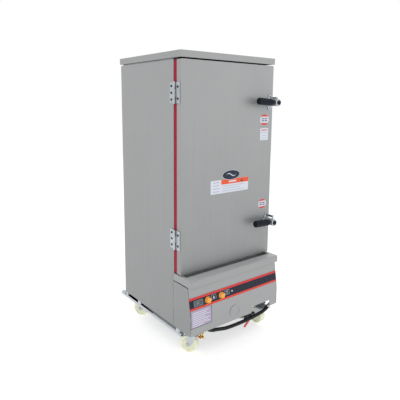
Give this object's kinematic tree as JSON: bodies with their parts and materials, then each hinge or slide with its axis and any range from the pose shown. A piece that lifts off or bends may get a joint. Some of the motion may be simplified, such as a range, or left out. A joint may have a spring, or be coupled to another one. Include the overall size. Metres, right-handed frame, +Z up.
{
  "type": "steam proofing cabinet",
  "caption": "Upright single-door steam proofing cabinet with an insulated chamber, drip sill, sloped control front, firebox and caster base.",
  "frame": {"origin": "centre of the footprint, on the floor", "axes": "+Z up, +X to the right seen from the front, -Y towards the door side"},
  "size_m": [0.732, 0.8322, 1.707],
  "materials": {
    "stainless": "satin brushed",
    "bright_stainless": "fine brushed",
    "zinc_steel": "bright zinc plate",
    "cream_nylon": "moulded, satin",
    "chrome": "polished plate",
    "black_plastic": "ribbed, satin",
    "foam": "rigid foam",
    "cast_iron": "as cast",
    "strip_film": "printed polyester film",
    "display_window": "clear window",
    "orange_plastic": "moulded",
    "red_paint": "dipped vinyl",
    "brass": "machined",
    "black_rubber": "extruded",
    "red_silicone": "moulded silicone"
  },
  "bodies": {
    "cabinet": {"left_panel": "stainless", "right_panel": "stainless", "back_panel": "stainless", "top_panel": "stainless", "top_lid": "stainless", "front_frame": "stainless", "chamber_liner": "bright_stainless", "insulation": "foam", "rack_left": "bright_stainless", "rack_right": "bright_stainless", "tray_1": "bright_stainless", "tray_2": "bright_stainless", "tray_3": "bright_stainless", "water_tank": "bright_stainless", "steam_plate": "bright_stainless", "burner": "cast_iron", "flue_box": "bright_stainless", "base_pan": "stainless", "sill": "stainless", "firebox_left": "stainless", "firebox_right": "stainless", "firebox_front": "stainless", "control_strip": "strip_film", "display_window": "display_window", "side_bar_left": "zinc_steel", "side_bar_right": "zinc_steel", "front_rail": "zinc_steel", "rear_rail": "zinc_steel", "hinge_upper_body_leaf": "zinc_steel", "hinge_lower_body_leaf": "zinc_steel", "latch_upper_keeper": "chrome", "latch_lower_keeper": "chrome", "drain_valve": "cast_iron", "drain_pipe": "zinc_steel", "water_tap": "brass", "gas_inlet": "zinc_steel", "gas_feed_pipe": "zinc_steel", "gas_hose": "black_rubber"},
    "door": {"door_outer": "stainless", "door_inner": "bright_stainless", "door_foam": "foam", "door_seal": "red_silicone", "hinge_upper_door_leaf": "zinc_steel", "hinge_lower_door_leaf": "zinc_steel", "latch_upper_base": "chrome", "latch_lower_base": "chrome"},
    "upper_latch": {"latch_upper_handle": "black_plastic"},
    "lower_latch": {"latch_lower_handle": "black_plastic"},
    "burner_control": {"burner_knob": "orange_plastic"},
    "timer_control": {"timer_knob": "orange_plastic"},
    "drain_lever": {"drain_valve_lever": "red_paint"},
    "tap_handle": {"water_tap_handle": "brass"},
    "front_left_caster": {"front_left_fork": "zinc_steel"},
    "front_left_roller": {"front_left_wheel": "cream_nylon"},
    "front_right_caster": {"front_right_fork": "zinc_steel"},
    "front_right_roller": {"front_right_wheel": "cream_nylon"},
    "rear_left_caster": {"rear_left_fork": "zinc_steel"},
    "rear_left_roller": {"rear_left_wheel": "cream_nylon"},
    "rear_right_caster": {"rear_right_fork": "zinc_steel"},
    "rear_right_roller": {"rear_right_wheel": "cream_nylon"}
  },
  "joints": [
    {"name": "door_hinge", "type": "hinge", "parent": "cabinet", "child": "door", "pos_m": [-0.358, -0.25416, 1.069], "axis": [0, 0, -1], "range_deg": [0, 175]},
    {"name": "upper_latch_turn", "type": "hinge", "parent": "door", "child": "upper_latch", "pos_m": [0.322, -0.34886, 1.441], "axis": [0, 1, 0], "range_deg": [-12, 90]},
    {"name": "lower_latch_turn", "type": "hinge", "parent": "door", "child": "lower_latch", "pos_m": [0.322, -0.34886, 0.689], "axis": [0, 1, 0], "range_deg": [-12, 90]},
    {"name": "burner_knob_turn", "type": "hinge", "parent": "cabinet", "child": "burner_control", "pos_m": [-0.222, -0.38659, 0.32998], "axis": [0, 0.986, -0.1667], "range_deg": [0, 180]},
    {"name": "timer_knob_turn", "type": "hinge", "parent": "cabinet", "child": "timer_control", "pos_m": [-0.12, -0.38659, 0.32998], "axis": [0, 0.986, -0.1667], "range_deg": [0, 300]},
    {"name": "drain_lever_turn", "type": "hinge", "parent": "cabinet", "child": "drain_lever", "pos_m": [0.165, -0.36386, 0.1], "axis": [0, 1, 0], "range_deg": [-50, 40]},
    {"name": "water_tap_turn", "type": "hinge", "parent": "cabinet", "child": "tap_handle", "pos_m": [-0.274, -0.38186, 0.115], "axis": [1, 0, 0], "range_deg": [0, 90]},
    {"name": "front_left_swivel", "type": "hinge", "parent": "cabinet", "child": "front_left_caster", "pos_m": [-0.274, -0.32886, 0.12], "axis": [0, 0, 1], "continuous": true},
    {"name": "front_left_roll", "type": "hinge", "parent": "front_left_caster", "child": "front_left_roller", "pos_m": [-0.287, -0.30634, 0.052], "axis": [-0.866, -0.5, 0], "continuous": true},
    {"name": "front_right_swivel", "type": "hinge", "parent": "cabinet", "child": "front_right_caster", "pos_m": [0.274, -0.32886, 0.12], "axis": [0, 0, 1], "continuous": true},
    {"name": "front_right_roll", "type": "hinge", "parent": "front_right_caster", "child": "front_right_roller", "pos_m": [0.27128, -0.303, 0.052], "axis": [-0.9945, -0.1045, 0], "continuous": true},
    {"name": "rear_left_swivel", "type": "hinge", "parent": "cabinet", "child": "rear_left_caster", "pos_m": [-0.274, 0.22114, 0.12], "axis": [0, 0, 1], "continuous": true},
    {"name": "rear_left_roll", "type": "hinge", "parent": "rear_left_caster", "child": "rear_left_roller", "pos_m": [-0.28499, 0.24471, 0.052], "axis": [-0.9063, -0.4226, 0], "continuous": true},
    {"name": "rear_right_swivel", "type": "hinge", "parent": "cabinet", "child": "rear_right_caster", "pos_m": [0.274, 0.22114, 0.12], "axis": [0, 0, 1], "continuous": true},
    {"name": "rear_right_roll", "type": "hinge", "parent": "rear_right_caster", "child": "rear_right_roller", "pos_m": [0.27852, 0.24675, 0.052], "axis": [-0.9848, 0.1736, 0], "continuous": true}
  ]
}
